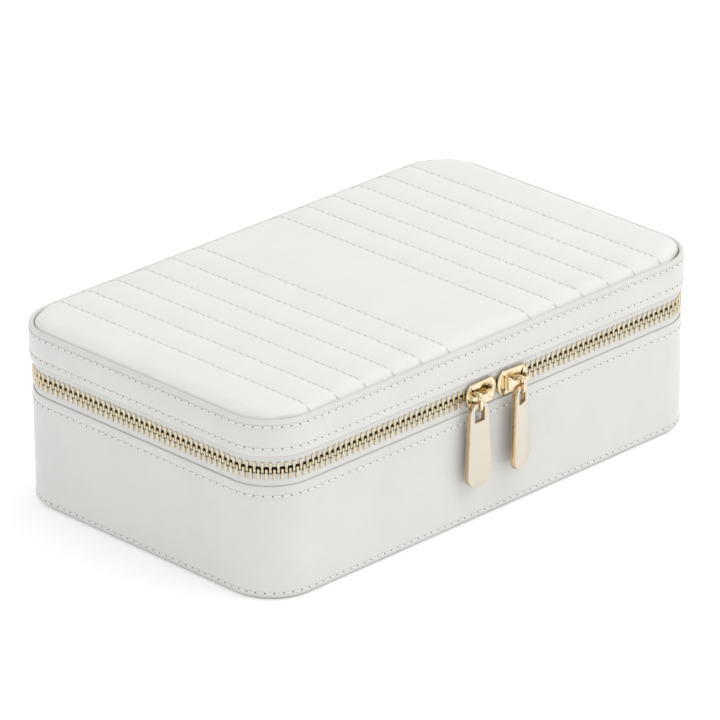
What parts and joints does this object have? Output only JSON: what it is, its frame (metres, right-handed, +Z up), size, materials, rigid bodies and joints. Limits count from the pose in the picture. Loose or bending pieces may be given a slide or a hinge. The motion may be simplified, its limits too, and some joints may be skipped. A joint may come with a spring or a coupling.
{
  "type": "jewelry box",
  "caption": "Zip-round jewelry box: rounded rectangular case with a hinged quilted lid, gold zip with paired sliders and long pulls, ring rolls, sections, mirror and necklace pocket.",
  "frame": {"origin": "middle of the case's underside, on the surface the box stands on; the pulls stand out to the front of it", "axes": "+Z up, the front with the sliders faces -Y, +X to the right along the long side"},
  "size_m": [0.2366, 0.1508, 0.077],
  "materials": {
    "board": "matt grey-brown fibre board",
    "leather": "smooth pearly white leatherette",
    "quilted_leather": "smooth white leatherette over wadding, channel quilted",
    "bottom_felt": "short felt",
    "velvet": "short warm grey velvet",
    "ring_velvet": "short warm grey velvet over foam",
    "foam": "open foam",
    "elastic": "ribbed elastic band",
    "zip_tape": "white woven tape",
    "zip_metal": "polished light gold",
    "gold": "polished light gold plate",
    "mirror": "silvered glass"
  },
  "bodies": {
    "base": {"base_floor": "board", "base_walls": "board", "base_cover": "leather", "bottom_pad": "bottom_felt", "wall_lining": "velvet", "floor_lining": "velvet", "zip_tape_lower": "zip_tape", "zip_teeth_lower": "zip_metal", "zip_stops_lower": "zip_metal", "hinge_strip_lower": "leather", "divider_left": "velvet", "divider_right": "velvet", "divider_ring_front": "velvet", "divider_mid_front": "velvet", "divider_mid_back": "velvet", "ring_bed": "ring_velvet", "ring_roll_1": "ring_velvet", "ring_roll_2": "ring_velvet", "ring_roll_3": "ring_velvet", "ring_roll_4": "ring_velvet", "ring_roll_5": "ring_velvet"},
    "lid": {"lid_top": "board", "lid_walls": "board", "lid_cover": "leather", "lid_piping": "leather", "top_foam": "foam", "quilted_top": "quilted_leather", "lid_wall_lining": "velvet", "lid_top_lining": "velvet", "zip_tape_upper": "zip_tape", "zip_teeth_upper": "zip_metal", "zip_stops_upper": "zip_metal", "hinge_strip_upper": "leather", "mirror_glass": "mirror", "mirror_frame": "leather", "peg_bar": "leather", "necklace_pegs": "gold", "pocket": "velvet", "pocket_band": "elastic"},
    "slider_left": {"slider_left": "gold", "bridge_left": "gold"},
    "link_left": {"link_left": "gold"},
    "pull_left": {"pull_left": "gold"},
    "slider_right": {"slider_right": "gold", "bridge_right": "gold"},
    "link_right": {"link_right": "gold"},
    "pull_right": {"pull_right": "gold"}
  },
  "joints": [
    {"name": "lid_hinge", "type": "hinge", "parent": "base", "child": "lid", "pos_m": [0, 0.0715, 0.0532], "axis": [-1, 0, 0], "range_deg": [0, 100]},
    {"name": "slider_left_run", "type": "slide", "parent": "base", "child": "slider_left", "axis": [-1, 0, 0], "range_m": [0, 0.08]},
    {"name": "slider_right_run", "type": "slide", "parent": "base", "child": "slider_right", "axis": [1, 0, 0], "range_m": [0, 0.08]},
    {"name": "pull_left_lift", "type": "hinge", "parent": "slider_left", "child": "link_left", "pos_m": [-0.0122, -0.07545, 0.0532], "axis": [-1, 0, 0], "range_deg": [0, 150]},
    {"name": "pull_right_lift", "type": "hinge", "parent": "slider_right", "child": "link_right", "pos_m": [0.0107, -0.07545, 0.0532], "axis": [-1, 0, 0], "range_deg": [0, 150]},
    {"name": "pull_left_sway", "type": "hinge", "parent": "link_left", "child": "pull_left", "pos_m": [-0.0122, -0.07545, 0.0485], "axis": [0, 1, 0], "range_deg": [-12, 12]},
    {"name": "pull_right_sway", "type": "hinge", "parent": "link_right", "child": "pull_right", "pos_m": [0.0107, -0.07545, 0.0485], "axis": [-0.309, 0.9511, 0], "range_deg": [-2, 12]}
  ]
}
